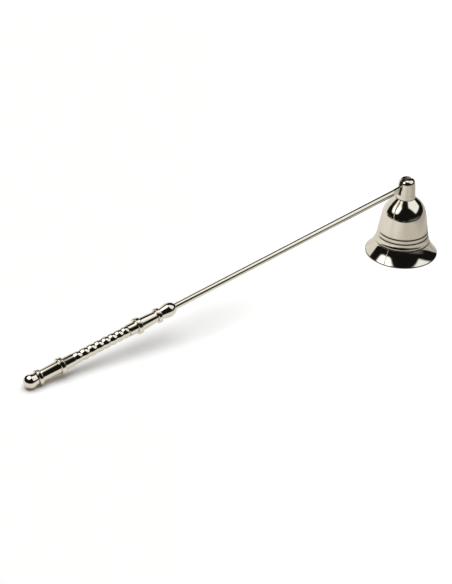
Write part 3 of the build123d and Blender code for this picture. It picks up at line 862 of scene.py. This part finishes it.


# Painted light and shade on the paper, shown only to the metal: bright at the left, warmer at the bell, greyer beyond
# it, and a painted shade of the bell dim beside its foot
plain_tone = (0.985, 0.985, 0.98, 1)
left_painted_light, bell_painted_shade = (1.03, 1.03, 1.02, 1), (0.735, 0.72, 0.675, 1)
right_painted_shade, foot_painted_shade = (0.54, 0.55, 0.535, 1), (0.44, 0.45, 0.44, 1)
foot_distance = add(paper_tree, "VectorMath", {0: paper_place, 1: tuple(view_middle)}, operation="DISTANCE")
by_foot = ramp(paper_tree, foot_distance.outputs["Value"], 0.075, 0.04, interpolation_type="SMOOTHSTEP")
painted_shade_beside_foot = sums(paper_tree, "MULTIPLY", by_foot, paper_step(30, 0.02, 0.045))
painted_light_and_shade = mix(paper_tree, paper_step(0, -0.10, 0.03), left_painted_light, bell_painted_shade)
painted_light_and_shade = mix(paper_tree, paper_step(20, 0.055, 0.105), painted_light_and_shade, right_painted_shade)
painted_light_and_shade = mix(paper_tree, painted_shade_beside_foot, painted_light_and_shade, foot_painted_shade)
# The camera and the lamps see the plain paper; the metal sees the painted light and shade
paper_tone = mix(paper_tree, paper_path["Is Glossy Ray"], plain_tone, painted_light_and_shade)
# Painted light for the camera: a faint glow on the paper that rises to a fifth of white towards the bell and lifts
# the bell's shade off it
painted_light_for_camera = sums(paper_tree, "MULTIPLY", paper_path["Is Camera Ray"], paper_step(0, -0.14, -0.06, 0.005, 0.2))
fill_sockets(paper_tree, paper_shader, {
    "Base Color": paper_tone, "Emission Color": (1, 1, 1, 1), "Emission Strength": painted_light_for_camera,
    "Roughness": 1.0, "Specular IOR Level": 0.0,
})
floor_mesh.materials.append(paper)

# A broad lamp overhead for the floor, a degree to the back, which the metal does not show
lamp_lean = np.radians(1)
lamp_back = np.array([0, np.sin(lamp_lean), np.cos(lamp_lean)])
lamp_right = np.array([-1.0, 0, 0])
overhead_lamp = bpy.data.lights.new("overhead_light", "SUN")
overhead_lamp.energy, overhead_lamp.angle = 2.86, np.radians(68)
overhead = bpy.data.objects.new("overhead_light", overhead_lamp)
overhead.matrix_world = aim(lamp_right, np.cross(lamp_back, lamp_right), lamp_back, lamp_back * lamp_reach)
overhead.visible_camera = overhead.visible_glossy = False
bpy.context.scene.collection.objects.link(overhead)

# Softboxes and cards that the metal does show. The overhead one aims a hair off plumb, so that it has a level side.
softbox("left_softbox", centre=(-312, -158, 338), target=(-69, -135, 20), halves=(160, 155), roll=0.5, power=3.8,
        strength=3.0, core=0.68, shift=(-0.03, 0))
softbox("right_softbox", centre=(424, 8, 520), target=(-5, 30, 20), halves=(318, 290), roll=0.02, power=8.0,
        strength=1.4, core=0.88, colour=(0.89, 0.95, 0.99))
softbox("overhead_softbox", centre=(57, 14, 632), target=(57.001, 13.999, 0), halves=(183, 183), roll=0.0, power=4.0,
        strength=1.6)
four_sided_card("left_back_card", [(-465, 152, 0), (-337, 575, 0), (-337, 575, 500), (-433, 245, 290)])
four_sided_card("back_card", [(-337, 575, 0), (-60, 800, 0), (-60, 800, 30), (-337, 575, 500)])
softbox("right_front_card", centre=(275, -230, 48), target=(0, 0, 10), halves=(180, 26), roll=0.0, power=4.0,
        strength=0.18, core=0.25)
dark_sheet("front_edge", [(-1500, -110), (1500, -470), (1500, -3000), (-1500, -3000)])
dark_sheet("left_edge", [(-412, -400), (-304, 0), (-465, 152), (-3000, 152), (-3000, -400)])

# Room: dim to the metal, a soft fill on the floor, and white where the camera looks past the floor
fill_light, metal_room, camera_white = (0.1, 0.1, 0.1, 1), (0.01, 0.0095, 0.009, 1), (1, 1, 1, 1)
world = bpy.data.worlds.new("studio")
bpy.context.scene.world = world
world.use_nodes = True
room = world.node_tree
room_path = add(room, "LightPath").outputs
room_light = mix(room, room_path["Is Glossy Ray"], fill_light, metal_room)
room_light = mix(room, room_path["Is Camera Ray"], room_light, camera_white)
room.links.new(room_light, room.nodes["Background"].inputs[0])
world.cycles.sampling_method = "NONE"

# Camera at the photograph's viewing angle
forward = np.array([0, np.cos(camera_pitch), -np.sin(camera_pitch)])
level_up = np.array([0, np.sin(camera_pitch), np.cos(camera_pitch)])
right = np.cos(camera_roll) * np.array([1.0, 0, 0]) + np.sin(camera_roll) * level_up
up = -np.sin(camera_roll) * np.array([1.0, 0, 0]) + np.cos(camera_roll) * level_up
lens = bpy.data.cameras.new("camera")
lens.lens, lens.sensor_width, lens.clip_end = sensor_width * focal_pixels / picture_height, sensor_width, camera_far
camera = bpy.data.objects.new("camera", lens)
camera.matrix_world = aim(right, up, -forward, -(camera_right * right + camera_up * up + camera_reach * forward))
bpy.context.scene.collection.objects.link(camera)
bpy.context.scene.camera = camera
bpy.context.scene.view_settings.view_transform = "Standard"
